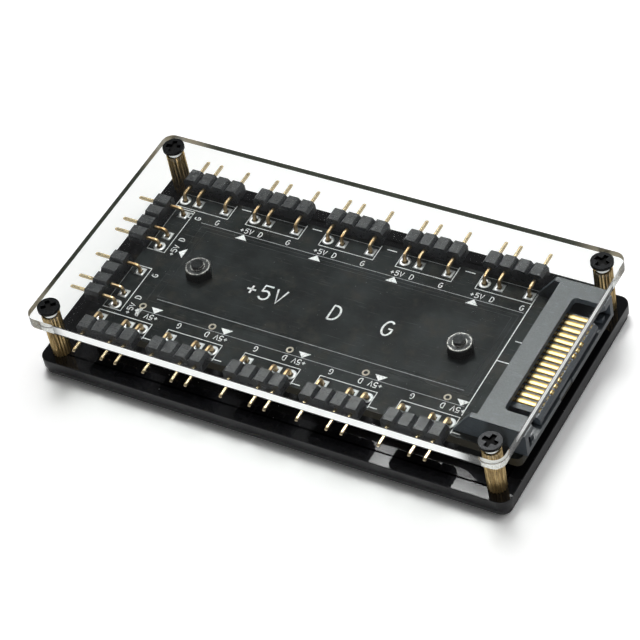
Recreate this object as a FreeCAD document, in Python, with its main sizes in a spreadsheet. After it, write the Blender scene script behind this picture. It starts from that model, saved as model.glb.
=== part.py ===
import FreeCAD
import Part
import Sketcher
import os
import re

# Fan lighting hub: a circuit board between a black base plate and a clear cover, with
# right-angle pin headers on three sides and a fifteen-way power inlet on the fourth.
# Millimetres, X along the plates towards the inlet, Y to the back, Z up from the pad underside.

SIZES = {
    # Plates and the pad under them
    "plate_length": 82.0,
    "plate_width": 44.0,
    "plate_corner": 1.8,
    "pad_thickness": 1.0,
    "pad_inset": 0.3,
    "base_thickness": 2.0,
    "cover_thickness": 2.0,
    # Pillars between the plates
    "pillar_inset": 2.9,
    "pillar_height": 7.5,
    "pillar_diameter": 3.1,
    "knurl_count": 18,
    "knurl_width": 0.7,
    "knurl_depth": 0.2,
    # Screws, spacers and nuts
    "thread_diameter": 1.9,
    "thread_clearance": 0.1,
    "hole_clearance": 0.3,
    "seat_clearance": 0.04,
    "screw_bite": 3.0,
    "head_diameter": 3.6,
    "head_height": 0.55,
    "recess_length": 2.5,
    "recess_width": 0.8,
    "recess_depth": 0.45,
    "recess_turn_back_left": 12.0,
    "recess_turn_back_right": -14.0,
    "recess_turn_front_left": 43.0,
    "recess_turn_front_right": -8.0,
    "sunk_head": 3.6,
    "sunk_angle": 45.0,
    "board_screw_inset": 17.9,
    "spacer_across": 4.0,
    "spacer_height": 1.5,
    "nut_across": 4.0,
    "nut_height": 1.7,
    "nut_ring": 3.75,
    "nut_slope": 0.55,
    "thread_end": 0.6,
    # Circuit board
    "board_left_inset": 6.4,
    "board_right_inset": 0.5,
    "board_width": 31.7,
    "board_thickness": 1.6,
    "board_corner": 1.0,
    "leg_clearance": 0.06,
    # Right-angle headers
    "pitch": 2.54,
    "block_depth": 2.54,
    "block_height": 2.54,
    "groove_width": 0.85,
    "groove_depth": 0.55,
    "block_offset": 0.03,
    "back_first": 11.0,
    "back_last": 16.81,
    "back_nudge_2": -0.45,
    "back_nudge_3": -0.53,
    "back_nudge_4": -0.33,
    "front_first": 11.66,
    "front_last": 16.72,
    "front_nudge_2": -0.66,
    "front_nudge_3": -0.22,
    "front_nudge_4": -0.42,
    "left_header_1": 6.91,
    "left_header_2": -6.66,
    "pin_size": 0.5,
    "pin_clearance": 0.02,
    "pin_reach": 3.45,
    "pin_point": 0.15,
    "pin_taper": 0.4,
    "pin_setback": 2.18,
    "pin_bend": 0.3,
    "pin_crook": 0.15,
    "pin_tail": 1.2,
    # Power inlet
    "inlet_overhang": 0.2,
    "inlet_y": 0.3,
    "inlet_depth": 8.0,
    "inlet_width": 30.0,
    "inlet_height": 4.2,
    "inlet_wall": 0.9,
    "inlet_roof": 1.0,
    "inlet_lip": 0.9,
    "cavity_start": 2.3,
    "notch_start": 3.2,
    "notch_width": 23.92,
    "notch_corner": 0.8,
    "mouth_bevel": 0.7,
    "lip_recess": 0.2,
    "lip_recess_low": -3.73,
    "lip_recess_high": 0.39,
    "tongue_centre": 0.27,
    "tongue_width": 20.0,
    "tongue_end": 7.7,
    "tongue_bottom": 1.35,
    "tongue_top": 2.5,
    "tongue_point": 0.45,
    "key_width": 1.2,
    "key_drop": 0.3,
    "rib_reach": 12.45,
    "rib_width": 0.9,
    "rib_height": 0.9,
    "rib_start": 4.8,
    "rib_end": 7.6,
    "brace_thickness": 0.9,
    "brace_flat": 0.9,
    "brace_length": 4.2,
    "peg_x": 4.3,
    "peg_reach": 13.0,
    "peg_diameter": 1.5,
    "peg_length": 1.4,
    "peg_clearance": 0.2,
    # Contacts of the inlet
    "contact_count": 15,
    "contact_pitch": 1.27,
    "contact_centre": 0.63,
    "contact_width": 0.84,
    "contact_thickness": 0.25,
    "contact_sink": 0.15,
    "contact_clearance": 0.05,
    "contact_group": 3,
    "contact_tip_short": 7.1,
    "contact_tip_long": 7.4,
    "contact_point": 0.16,
    "contact_tail_x": 1.2,
    "contact_tail": 0.9,
}

PILLARS = (
    ("back_left", -1, 1),
    ("back_right", 1, 1),
    ("front_left", -1, -1),
    ("front_right", 1, -1),
)
PIN_PLACES = (0, 1, 3)
BEND_STEPS = (0, 30, 60, 90)
ROW_HEADERS = 5
SIDE_HEADERS = 2
SIDES = (-1, 1)
CONTACT_TIPS = (
    "contact_tip_short",
    "contact_tip_long",
    "contact_tip_short",
    "contact_tip_long",
    "contact_tip_short",
)

BASE_TOP = "pad_thickness + base_thickness"
BOARD_BOTTOM = f"{BASE_TOP} + spacer_height"
BOARD_TOP = f"{BOARD_BOTTOM} + board_thickness"
COVER_BOTTOM = f"{BASE_TOP} + pillar_height"
COVER_TOP = f"{COVER_BOTTOM} + cover_thickness"
SCREW_HOLE = "thread_diameter + hole_clearance"
SCREW_BORE = "thread_diameter + thread_clearance"
CONTACT_FLOOR = "tongue_top - contact_sink"
BOARD_LENGTH = "(plate_length - board_left_inset - board_right_inset)"
BOARD_CENTRE = "((board_left_inset - board_right_inset) / 2)"
BOARD_SCREW = "plate_length / 2 - board_screw_inset"
HEADER_ROW = "(board_width / 2 + block_offset)"
HEADER_COLUMN = "(plate_length / 2 - board_left_inset + block_offset)"
INLET_X = "(plate_length / 2 + inlet_overhang - inlet_depth)"

DOC = FreeCAD.newDocument("fan_hub")
SHEET = DOC.addObject("Spreadsheet::Sheet", "Sizes")
for row, (alias, size) in enumerate(SIZES.items(), start=1):
    SHEET.set(f"A{row}", alias)
    SHEET.set(f"B{row}", str(size))
    SHEET.setAlias(f"B{row}", alias)
DOC.recompute()
NODES = []


def linked(formula):
    """Point every size named in a formula at its cell in the sheet."""
    return re.sub(r"[a-z]\w*", lambda m: f"Sizes.{m[0]}" if m[0] in SIZES else m[0], formula)


def value(formula):
    """The number a formula of sheet sizes gives now."""
    return float(SHEET.evalExpression(linked(formula)))


def new_body(label, x="0", y="0", z="0", turn=0.0):
    """A body that is handed in as one file, standing at a place given by formulas."""
    body = DOC.addObject("PartDesign::Body", label)
    body.Label = label
    body.AllowCompound = True
    body.Placement.Rotation = FreeCAD.Rotation(FreeCAD.Vector(0, 0, 1), turn)
    for axis, formula in (("x", x), ("y", y), ("z", z)):
        body.setExpression(f"Placement.Base.{axis}", linked(formula))
    NODES.append(body)
    return body


def origin_feature(body, role):
    """One plane or axis of a body's own origin."""
    return next(item for item in body.Origin.OriginFeatures if item.Role == role)


def new_sketch(body, name, plane, lift="0", across="0"):
    """A sketch on an origin plane, lifted off it and shifted along its first direction."""
    sketch = body.newObject("Sketcher::SketchObject", f"{body.Name}_{name}")
    sketch.AttachmentSupport = [(origin_feature(body, plane), "")]
    sketch.MapMode = "FlatFace"
    sketch.setExpression("AttachmentOffset.Base.z", linked(lift))
    sketch.setExpression("AttachmentOffset.Base.x", linked(across))
    return sketch


def drive(sketch, kind, label, formula, *place):
    """Add one dimension to a sketch and bind it to a formula."""
    dimension = Sketcher.Constraint(kind, *place, value(formula))
    dimension.Name = label
    sketch.addConstraint(dimension)
    sketch.setExpression(f"Constraints.{label}", linked(formula))


def polygon(sketch, points):
    """A closed outline of straight lines through points given as pairs of formulas."""
    first = sketch.GeometryCount
    count = len(points)
    spots = [FreeCAD.Vector(value(x), value(y), 0) for x, y in points]
    lines = [Part.LineSegment(spots[i], spots[(i + 1) % count]) for i in range(count)]
    sketch.addGeometry(lines, False)
    joins = [
        Sketcher.Constraint("Coincident", first + i, 2, first + (i + 1) % count, 1)
        for i in range(count)
    ]
    sketch.addConstraint(joins)
    for i, (x, y) in enumerate(points):
        drive(sketch, "DistanceX", f"across_{first + i}", x, -1, 1, first + i, 1)
        drive(sketch, "DistanceY", f"along_{first + i}", y, -1, 1, first + i, 1)


def rectangle(sketch, left, low, right, high):
    """A rectangle between four formulas."""
    polygon(sketch, ((left, low), (right, low), (right, high), (left, high)))


def circle(sketch, x, y, diameter):
    """A circle with its centre and diameter given by formulas."""
    centre = FreeCAD.Vector(value(x), value(y), 0)
    ring = Part.Circle(centre, FreeCAD.Vector(0, 0, 1), value(diameter) / 2)
    geo = sketch.addGeometry(ring, False)
    drive(sketch, "DistanceX", f"across_{geo}", x, -1, 1, geo, 3)
    drive(sketch, "DistanceY", f"along_{geo}", y, -1, 1, geo, 3)
    drive(sketch, "Diameter", f"diameter_{geo}", diameter, geo)


def hexagon(sketch, x, across):
    """A hexagon on the middle line, given by its width across flats."""
    corner = f"{across} / sqrt(3)"
    polygon(
        sketch,
        (
            (f"{x} + {corner}", "0"),
            (f"{x} + {corner} / 2", f"{across} / 2"),
            (f"{x} - {corner} / 2", f"{across} / 2"),
            (f"{x} - {corner}", "0"),
            (f"{x} - {corner} / 2", f"-{across} / 2"),
            (f"{x} + {corner} / 2", f"-{across} / 2"),
        ),
    )


def extrude(body, kind, name, sketch, length, reverse=False, symmetric=False, taper="0"):
    """A pad or a pocket of a sketch, checked to have changed the body."""
    before = body.Tip.Shape.Volume if body.Tip else 0.0
    feature = body.newObject(f"PartDesign::{kind}", f"{body.Name}_{name}")
    feature.Profile = sketch
    feature.SideType = "Symmetric" if symmetric else "One side"
    feature.Reversed = reverse
    feature.Refine = True
    feature.setExpression("Length", linked(length))
    feature.setExpression("TaperAngle", linked(taper))
    sketch.Visibility = False
    DOC.recompute()
    grown = feature.Shape.Volume - before
    if (grown > 0) != (kind == "Pad"):
        raise RuntimeError(f"{feature.Name} left the body as it was")
    return feature


def pad(body, name, sketch, length, **options):
    """Material added from a sketch."""
    return extrude(body, "Pad", name, sketch, length, **options)


def pocket(body, name, sketch, length, **options):
    """Material taken away from a sketch."""
    return extrude(body, "Pocket", name, sketch, length, **options)


def dress(body, kind, name, wanted, size_name, size):
    """A fillet or chamfer on the edges of the body that a test picks out."""
    base = body.Tip
    names = [f"Edge{i}" for i, edge in enumerate(base.Shape.Edges, start=1) if wanted(edge)]
    if not names:
        raise RuntimeError(f"{body.Name}_{name} found no edges")
    feature = body.newObject(f"PartDesign::{kind}", f"{body.Name}_{name}")
    feature.Base = (base, names)
    feature.setExpression(size_name, linked(size))
    DOC.recompute()
    return feature


def fillet(body, name, wanted, radius):
    """Rounded edges."""
    return dress(body, "Fillet", name, wanted, "Radius", radius)


def chamfer(body, name, wanted, size):
    """Bevelled edges."""
    return dress(body, "Chamfer", name, wanted, "Size", size)


def is_line(edge, along):
    """Whether an edge is straight and runs along one axis."""
    if edge.Curve.TypeId != "Part::GeomLine":
        return False
    return abs(getattr(edge.tangentAt(edge.FirstParameter), along)) > 0.999


def at(edge, **formulas):
    """Whether the middle of an edge lies at the given coordinates."""
    spot = edge.BoundBox.Center
    return all(abs(getattr(spot, axis) - value(text)) < 1e-4 for axis, text in formulas.items())


def row_pattern(body, name, features, axis, spacing, count, reverse=False, whole=False):
    """Copies of features, or of the whole body, in a straight row."""
    feature = body.newObject("PartDesign::LinearPattern", f"{body.Name}_{name}")
    if whole:
        feature.TransformMode = "Whole shape"
    else:
        feature.Originals = features
    feature.Direction = (origin_feature(body, axis), [""])
    feature.Reversed = reverse
    feature.Mode = "Spacing"
    feature.Refine = True
    feature.setExpression("Offset", linked(spacing))
    feature.setExpression("Occurrences", linked(count))
    body.Tip = feature
    DOC.recompute()
    return feature


def rounded_plate(label, length, width, thickness, corner, **place):
    """A flat plate with four round corners."""
    body = new_body(label, **place)
    outline = new_sketch(body, "outline", "XY_Plane")
    rectangle(
        outline,
        f"-({length}) / 2",
        f"-({width}) / 2",
        f"({length}) / 2",
        f"({width}) / 2",
    )
    pad(body, "slab", outline, thickness)
    fillet(body, "corners", lambda edge: is_line(edge, "z"), corner)
    return body


def signed(side, formula):
    """A formula on one side of the middle."""
    return f"{side} * ({formula})"


def pillar_spot(side_x, side_y):
    """The two formulas of one pillar's axis."""
    x = signed(side_x, "plate_length / 2 - pillar_inset")
    return x, signed(side_y, "plate_width / 2 - pillar_inset")


def plan_of_header(x, y, turn, along, away):
    """Board formulas of a point in a header's own frame, for the three ways a header stands."""
    if turn == 0:
        return f"{x} + {along}", f"{y} + {away}"
    if turn == 180:
        return f"{x} - ({along})", f"{y} - ({away})"
    return f"{x} - ({away})", f"{y} + {along}"


def row_place(row, number):
    """Formula of a header along its row: spread between the end ones, the inner ones nudged by hand."""
    first = f"{row}_first - plate_length / 2"
    step = f"(plate_length - {row}_first - {row}_last) / {ROW_HEADERS - 1}"
    place = f"{first} + {number - 1} * {step}"
    if 1 < number < ROW_HEADERS:
        place += f" + {row}_nudge_{number}"
    return place


def header_places():
    """Name, place and turn of every header."""
    places = []
    for i in range(1, ROW_HEADERS + 1):
        places.append((f"header_back_{i}", row_place("back", i), HEADER_ROW, 0))
    for i in range(1, ROW_HEADERS + 1):
        places.append((f"header_front_{i}", row_place("front", i), f"-{HEADER_ROW}", 180))
    for i in range(1, SIDE_HEADERS + 1):
        places.append((f"header_left_{i}", f"-{HEADER_COLUMN}", f"left_header_{i}", 90))
    return places


def pin_along(place):
    """Formula of a pin place along its header, from the header middle."""
    return f"({place} - 1.5) * pitch"


def contact_row(group):
    """Formula of the first contact of a group along the inlet."""
    steps = f"(contact_count - 1) / 2 - {group} * contact_group"
    return f"contact_centre - ({steps}) * contact_pitch"


def build_pad():
    """The thin pad the hub stands on, a little inside the base plate."""
    rounded_plate(
        "backing_pad",
        "plate_length - 2 * pad_inset",
        "plate_width - 2 * pad_inset",
        "pad_thickness",
        "plate_corner - pad_inset",
    )


def build_base():
    """The base plate, with countersunk holes for the pillars and for the board."""
    body = rounded_plate(
        "base_plate", "plate_length", "plate_width", "base_thickness", "plate_corner", z="pad_thickness"
    )
    spots = [pillar_spot(side_x, side_y) for name, side_x, side_y in PILLARS]
    spots += [(signed(side, BOARD_SCREW), "0") for side in SIDES]
    holes = new_sketch(body, "holes", "XY_Plane")
    sinks = new_sketch(body, "sinks", "XY_Plane")
    wide = "sunk_head + seat_clearance"
    for x, y in spots:
        circle(holes, x, y, SCREW_HOLE)
        circle(sinks, x, y, wide)
    pocket(body, "drilled", holes, "base_thickness", reverse=True)
    depth = f"({wide} - ({SCREW_HOLE})) / 2"
    pocket(body, "countersunk", sinks, depth, reverse=True, taper="-sunk_angle")


def build_cover():
    """The clear cover with a hole over each pillar."""
    body = rounded_plate(
        "clear_cover", "plate_length", "plate_width", "cover_thickness", "plate_corner", z=COVER_BOTTOM
    )
    holes = new_sketch(body, "holes", "XY_Plane")
    for name, side_x, side_y in PILLARS:
        circle(holes, *pillar_spot(side_x, side_y), SCREW_HOLE)
    pocket(body, "drilled", holes, "cover_thickness", reverse=True)


def build_pillar(name, side_x, side_y):
    """A round pillar with a straight knurl and a bore for a screw from either end."""
    x, y = pillar_spot(side_x, side_y)
    body = new_body(f"standoff_{name}", x=x, y=y, z=BASE_TOP)
    section = new_sketch(body, "section", "XY_Plane")
    circle(section, "0", "0", "pillar_diameter")
    circle(section, "0", "0", SCREW_BORE)
    pad(body, "tube", section, "pillar_height")
    flute = new_sketch(body, "flute", "XY_Plane")
    rim = "pillar_diameter / 2"
    polygon(
        flute,
        (
            (f"{rim} - knurl_depth", "0"),
            (f"{rim} + knurl_depth", "-knurl_width"),
            (f"{rim} + knurl_depth", "knurl_width"),
        ),
    )
    groove = pocket(body, "groove", flute, "pillar_height", reverse=True)
    knurl = body.newObject("PartDesign::PolarPattern", f"{body.Name}_knurl")
    knurl.Originals = [groove]
    knurl.Refine = True
    knurl.Axis = (origin_feature(body, "Z_Axis"), [""])
    knurl.setExpression("Occurrences", linked("knurl_count"))
    body.Tip = knurl
    DOC.recompute()


def recess_points(x, y, turn):
    """Twelve corners of a cross recess turned about a screw axis."""
    far, near = "recess_length / 2", "recess_width / 2"
    quarter = ((far, f"-{near}"), (far, near), (near, near))
    points = []
    for step in range(4):
        angle = f"({turn} + {90 * step})"
        for u, v in quarter:
            along = f"({x}) + ({u}) * cos({angle}) - ({v}) * sin({angle})"
            up = f"({y}) + ({u}) * sin({angle}) + ({v}) * cos({angle})"
            points.append((along, up))
    return points


def build_cover_screws():
    """Four flat-headed screws with cross recesses that hold the cover down."""
    body = new_body("cover_screws", z=COVER_TOP)
    heads = new_sketch(body, "heads", "XY_Plane")
    shanks = new_sketch(body, "shanks", "XY_Plane")
    crosses = new_sketch(body, "crosses", "XY_Plane", lift="head_height")
    for name, side_x, side_y in PILLARS:
        x, y = pillar_spot(side_x, side_y)
        circle(heads, x, y, "head_diameter")
        circle(shanks, x, y, "thread_diameter")
        polygon(crosses, recess_points(x, y, f"recess_turn_{name}"))
    pad(body, "discs", heads, "head_height")
    pad(body, "threads", shanks, "cover_thickness + screw_bite", reverse=True)
    pocket(body, "recesses", crosses, "recess_depth")


def build_sunk_screws(label, spots, length):
    """Countersunk screws pointing up, heads level with the base underside."""
    body = new_body(label, z="pad_thickness")
    heads = new_sketch(body, "heads", "XY_Plane")
    shanks = new_sketch(body, "shanks", "XY_Plane")
    for x, y in spots:
        circle(heads, x, y, "sunk_head")
        circle(shanks, x, y, "thread_diameter")
    pad(body, "threads", shanks, length)
    pad(body, "cones", heads, "(sunk_head - thread_diameter) / 2", taper="-sunk_angle")


def build_board_fixings():
    """Spacers under the board and nuts on it, on the two board screws."""
    spacers = new_body("board_spacers", z=BASE_TOP)
    rings = new_sketch(spacers, "rings", "XY_Plane")
    nuts = new_body("board_nuts", z=BOARD_TOP)
    outlines = new_sketch(nuts, "outlines", "XY_Plane")
    for side in SIDES:
        x = signed(side, BOARD_SCREW)
        hexagon(rings, x, "spacer_across")
        circle(rings, x, "0", SCREW_HOLE)
        hexagon(outlines, x, "nut_across")
        circle(outlines, x, "0", SCREW_BORE)
    pad(spacers, "tubes", rings, "spacer_height")
    pad(nuts, "hexagons", outlines, "nut_height")
    wide = "nut_across"
    for side in SIDES:
        name = "right" if side > 0 else "left"
        wedge = new_sketch(nuts, f"wedge_{name}", "XZ_Plane", across=signed(side, BOARD_SCREW))
        polygon(
            wedge,
            (
                ("nut_ring / 2", "nut_height"),
                (wide, "nut_height"),
                (wide, f"nut_height - ({wide} - nut_ring / 2) * nut_slope"),
            ),
        )
        groove = nuts.newObject("PartDesign::Groove", f"{nuts.Name}_crown_{name}")
        groove.Profile = wedge
        groove.ReferenceAxis = (wedge, ["V_Axis"])
        groove.Angle = 360.0
        wedge.Visibility = False
        DOC.recompute()


def build_board():
    """The circuit board, drilled for its fixings, the header pins and the inlet."""
    body = rounded_plate(
        "circuit_board",
        BOARD_LENGTH,
        "board_width",
        "board_thickness",
        "board_corner",
        x=BOARD_CENTRE,
        z=BOARD_BOTTOM,
    )
    fixings = new_sketch(body, "fixings", "XY_Plane")
    for side in SIDES:
        circle(fixings, f"{signed(side, BOARD_SCREW)} - {BOARD_CENTRE}", "0", SCREW_HOLE)
        peg_y = f"inlet_y + {signed(side, 'peg_reach')}"
        circle(fixings, f"{INLET_X} + peg_x - {BOARD_CENTRE}", peg_y, "peg_diameter + peg_clearance")
    pocket(body, "drilled_fixings", fixings, "board_thickness", reverse=True)
    for name, x, y, turn in header_places():
        legs = new_sketch(body, f"legs_{name}", "XY_Plane")
        for place in PIN_PLACES:
            leg_x, leg_y = plan_of_header(x, y, turn, pin_along(place), "(-pin_setback)")
            half = "(pin_size / 2 + leg_clearance)"
            left, right = f"{leg_x} - {BOARD_CENTRE} - {half}", f"{leg_x} - {BOARD_CENTRE} + {half}"
            rectangle(legs, left, f"{leg_y} - {half}", right, f"{leg_y} + {half}")
        pocket(body, f"drilled_{name}", legs, "board_thickness", reverse=True)
    tail = new_sketch(body, "tail", "XY_Plane")
    tail_x = f"{INLET_X} + contact_tail_x - {BOARD_CENTRE}"
    tail_y = "inlet_y + contact_centre - (contact_count - 1) / 2 * contact_pitch"
    half_x, half_y = "(contact_thickness / 2 + leg_clearance)", "(contact_width / 2 + leg_clearance)"
    rectangle(
        tail,
        f"{tail_x} - {half_x}",
        f"{tail_y} - {half_y}",
        f"{tail_x} + {half_x}",
        f"{tail_y} + {half_y}",
    )
    first = pocket(body, "drilled_tail", tail, "board_thickness", reverse=True)
    row_pattern(body, "drilled_tails", [first], "Y_Axis", "contact_pitch", "contact_count")


def build_header(name, x, y, turn):
    """A four-place header block with grooves between the places and holes for three pins."""
    body = new_body(name, x=x, y=y, z=BOARD_TOP, turn=turn)
    end = "-2 * pitch"
    face = new_sketch(body, "face", "XZ_Plane")
    rectangle(face, end, "0", "2 * pitch", "block_height")
    pad(body, "block", face, "block_depth", reverse=True)
    notch = new_sketch(body, "notch", "XZ_Plane")
    low, high = f"{end} - groove_width / 2", f"{end} + groove_width / 2"
    polygon(notch, ((low, "block_height"), (high, "block_height"), (end, "block_height - groove_depth")))
    polygon(notch, ((low, "0"), (high, "0"), (end, "groove_depth")))
    grooves = pocket(body, "end_groove", notch, "block_depth")
    row_pattern(body, "grooves", [grooves], "X_Axis", "pitch", "5")
    holes = new_sketch(body, "holes", "XZ_Plane")
    half = "(pin_size + pin_clearance) / 2"
    for place in PIN_PLACES:
        middle = pin_along(place)
        rectangle(
            holes,
            f"{middle} - {half}",
            f"block_height / 2 - {half}",
            f"{middle} + {half}",
            f"block_height / 2 + {half}",
        )
    pocket(body, "pin_holes", holes, "block_depth")


def build_pins(name, x, y, turn):
    """Three square pins that leave the block, bend down and pass through the board."""
    body = new_body(f"{name}_pins", x=x, y=y, z=BOARD_TOP, turn=turn)
    half = "pin_size / 2"
    low, high = f"block_height / 2 - {half}", f"block_height / 2 + {half}"
    inner, outer = f"{half} - pin_setback", f"-pin_setback - {half}"
    foot = "-(board_thickness + pin_tail)"
    tip = "block_depth + pin_reach"
    round_over = "(pin_bend + pin_size)"
    bend = [
        (f"{outer} + {round_over} * (1 - sin({turned}))", f"{high} - {round_over} * (1 - cos({turned}))")
        for turned in BEND_STEPS
    ]
    for place in PIN_PLACES:
        profile = new_sketch(body, f"profile_{place}", "YZ_Plane", lift=pin_along(place))
        polygon(
            profile,
            (
                (outer, foot),
                (inner, foot),
                (inner, low),
                (f"{tip} - pin_taper", low),
                (tip, f"{low} + pin_point"),
                (tip, f"{high} - pin_point"),
                (f"{tip} - pin_taper", high),
                *bend,
            ),
        )
        pad(body, f"pin_{place}", profile, "pin_size", symmetric=True)
    chamfer(body, "crooks", lambda edge: is_line(edge, "x") and at(edge, y=inner, z=low), "pin_crook")


def build_inlet():
    """The moulded power inlet: rear block, side arms, lip, keyed tongue, braces and pegs."""
    body = new_body("sata_housing", x=INLET_X, y="inlet_y", z=BOARD_TOP)
    half = "inlet_width / 2"
    outline = new_sketch(body, "outline", "XY_Plane")
    rectangle(outline, "0", f"-{half}", "inlet_depth", half)
    pad(body, "block", outline, "inlet_height")

    opening = new_sketch(body, "opening", "YZ_Plane", lift="inlet_depth")
    inside = f"{half} - inlet_wall"
    rectangle(opening, f"-({inside})", "inlet_lip", inside, "inlet_height - inlet_roof")
    pocket(body, "cavity", opening, "inlet_depth - cavity_start")

    gap = new_sketch(body, "gap", "XY_Plane", lift="inlet_height")
    rectangle(gap, "notch_start", "-notch_width / 2", "inlet_depth", "notch_width / 2")
    pocket(body, "notch", gap, "inlet_roof")
    roof_middle = "inlet_height - inlet_roof / 2"
    fillet(
        body,
        "notch_corners",
        lambda edge: is_line(edge, "z") and at(edge, x="notch_start", z=roof_middle),
        "notch_corner",
    )
    mouths = ("-notch_width / 2", "notch_width / 2")
    chamfer(
        body,
        "mouth",
        lambda edge: is_line(edge, "z")
        and any(at(edge, x="inlet_depth", y=mouth, z=roof_middle) for mouth in mouths),
        "mouth_bevel",
    )

    dip = new_sketch(body, "dip", "XY_Plane", lift="inlet_lip")
    rectangle(dip, "inlet_depth - lip_recess", "lip_recess_low", "inlet_depth", "lip_recess_high")
    pocket(body, "lip_dip", dip, "inlet_lip")

    left, right = "tongue_centre - tongue_width / 2", "tongue_centre + tongue_width / 2"
    section = new_sketch(body, "section", "YZ_Plane", lift="cavity_start")
    polygon(
        section,
        (
            (left, "tongue_bottom - key_drop"),
            (f"{left} + key_width", "tongue_bottom - key_drop"),
            (f"{left} + key_width", "tongue_bottom"),
            (right, "tongue_bottom"),
            (right, "tongue_top"),
            (left, "tongue_top"),
        ),
    )
    pad(body, "tongue", section, "tongue_end - cavity_start")
    chamfer(
        body,
        "tongue_points",
        lambda edge: is_line(edge, "y") and at(edge, x="tongue_end", z="tongue_top"),
        "tongue_point",
    )

    ribs = new_sketch(body, "ribs", "XY_Plane", lift="inlet_lip")
    pegs = new_sketch(body, "pegs", "XY_Plane")
    for side in SIDES:
        near = f"{signed(side, 'rib_reach')} - rib_width / 2"
        far = f"{signed(side, 'rib_reach')} + rib_width / 2"
        rectangle(ribs, "rib_start", near, "rib_end", far)
        circle(pegs, "peg_x", signed(side, "peg_reach"), "peg_diameter")
    pad(body, "guide_ribs", ribs, "rib_height")
    pad(body, "board_pegs", pegs, "peg_length", reverse=True)

    for side in SIDES:
        name = "back" if side > 0 else "front"
        shift = f"{half} - brace_thickness" if side < 0 else f"-({half})"
        brace = new_sketch(body, f"brace_{name}", "XZ_Plane", lift=shift)
        polygon(
            brace,
            (
                ("0", "0"),
                ("0", "inlet_height"),
                ("-brace_flat", "inlet_height"),
                ("-brace_length", "0"),
            ),
        )
        pad(body, f"brace_{name}_web", brace, "brace_thickness")

    rear = "contact_tail_x - contact_thickness / 2 - contact_clearance"
    front = "contact_tail_x + contact_thickness / 2 + contact_clearance"
    ceiling = f"{CONTACT_FLOOR} + contact_thickness + contact_clearance"
    wide = "contact_width + 2 * contact_clearance"
    slots = []
    for group, tip in enumerate(CONTACT_TIPS):
        end = "tongue_end" if tip == "contact_tip_long" else f"{tip} + contact_clearance"
        slot = new_sketch(body, f"slot_{group}", "XZ_Plane", lift=f"-({contact_row(group)})")
        polygon(
            slot,
            (
                (rear, "0"),
                (front, "0"),
                (front, CONTACT_FLOOR),
                (end, CONTACT_FLOOR),
                (end, ceiling),
                (rear, ceiling),
            ),
        )
        slots.append(pocket(body, f"contact_slot_{group}", slot, wide, symmetric=True))
    row_pattern(body, "contact_slots", slots, "Y_Axis", "contact_pitch", "contact_group")


def build_contacts():
    """Fifteen flat contacts on the tongue, some longer than others, bent down behind it into the board."""
    body = new_body("sata_contacts", x=INLET_X, y="inlet_y", z=BOARD_TOP)
    rear = "contact_tail_x - contact_thickness / 2"
    front = "contact_tail_x + contact_thickness / 2"
    top = f"{CONTACT_FLOOR} + contact_thickness"
    foot = "-(board_thickness + contact_tail)"
    strips = []
    for group, tip in enumerate(CONTACT_TIPS):
        profile = new_sketch(body, f"profile_{group}", "XZ_Plane", lift=f"-({contact_row(group)})")
        polygon(
            profile,
            (
                (rear, foot),
                (front, foot),
                (front, CONTACT_FLOOR),
                (tip, CONTACT_FLOOR),
                (tip, f"{top} - contact_point"),
                (f"{tip} - 2 * contact_point", top),
                (rear, top),
            ),
        )
        strips.append(pad(body, f"strip_{group}", profile, "contact_width", symmetric=True))
    row_pattern(body, "row", strips, "Y_Axis", "contact_pitch", "contact_group")


def main():
    """Build every piece, look for faults and write one file for each node."""
    build_pad()
    build_base()
    build_cover()
    for name, side_x, side_y in PILLARS:
        build_pillar(name, side_x, side_y)
    build_cover_screws()
    pillar_spots = [pillar_spot(side_x, side_y) for name, side_x, side_y in PILLARS]
    build_sunk_screws("base_screws", pillar_spots, "base_thickness + screw_bite")
    board_spots = [(signed(side, BOARD_SCREW), "0") for side in SIDES]
    stack = "base_thickness + spacer_height + board_thickness + nut_height + thread_end"
    build_sunk_screws("board_screws", board_spots, stack)
    build_board_fixings()
    build_board()
    for name, x, y, turn in header_places():
        build_header(name, x, y, turn)
        build_pins(name, x, y, turn)
    build_inlet()
    build_contacts()
    DOC.recompute()
    faults = [item.Name for item in DOC.Objects if {"Invalid", "Error"} & set(item.State)]
    for body in NODES:
        if body.Shape.isNull() or not body.Shape.isValid() or not body.Shape.Solids:
            faults.append(body.Label)
    if faults:
        raise RuntimeError(f"faulty objects: {faults}")
    os.makedirs("parts", exist_ok=True)
    for body in NODES:
        body.Shape.exportStep(f"parts/{body.Label}.step")


main()
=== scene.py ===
"""Looks of a fan lighting hub: a circuit board between a gloss black base and a clear cover.

Metres, +X towards the power inlet, +Y to the back row of headers, +Z up through the cover.
"""

import logging
import math
from dataclasses import dataclass, field, replace
from enum import Enum
from functools import partialmethod, reduce
from typing import Iterable, Mapping, Optional, Sequence, Union

import bpy
from mathutils import Matrix, Quaternion, Vector


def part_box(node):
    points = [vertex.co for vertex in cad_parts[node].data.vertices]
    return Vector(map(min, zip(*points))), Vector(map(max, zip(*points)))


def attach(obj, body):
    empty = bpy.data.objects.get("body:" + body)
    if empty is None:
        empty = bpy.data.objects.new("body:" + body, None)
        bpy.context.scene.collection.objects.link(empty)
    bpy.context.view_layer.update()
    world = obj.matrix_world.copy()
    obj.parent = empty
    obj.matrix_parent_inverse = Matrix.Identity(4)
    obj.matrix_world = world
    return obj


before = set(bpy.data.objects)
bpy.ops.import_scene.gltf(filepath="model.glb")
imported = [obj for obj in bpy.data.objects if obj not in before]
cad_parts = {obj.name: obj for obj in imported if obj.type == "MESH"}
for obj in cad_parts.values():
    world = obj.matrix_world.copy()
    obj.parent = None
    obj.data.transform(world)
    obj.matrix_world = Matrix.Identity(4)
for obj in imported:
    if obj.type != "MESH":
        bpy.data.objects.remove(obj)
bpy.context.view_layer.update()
LOG = logging.getLogger("fan_hub")
MM = 0.001
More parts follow.
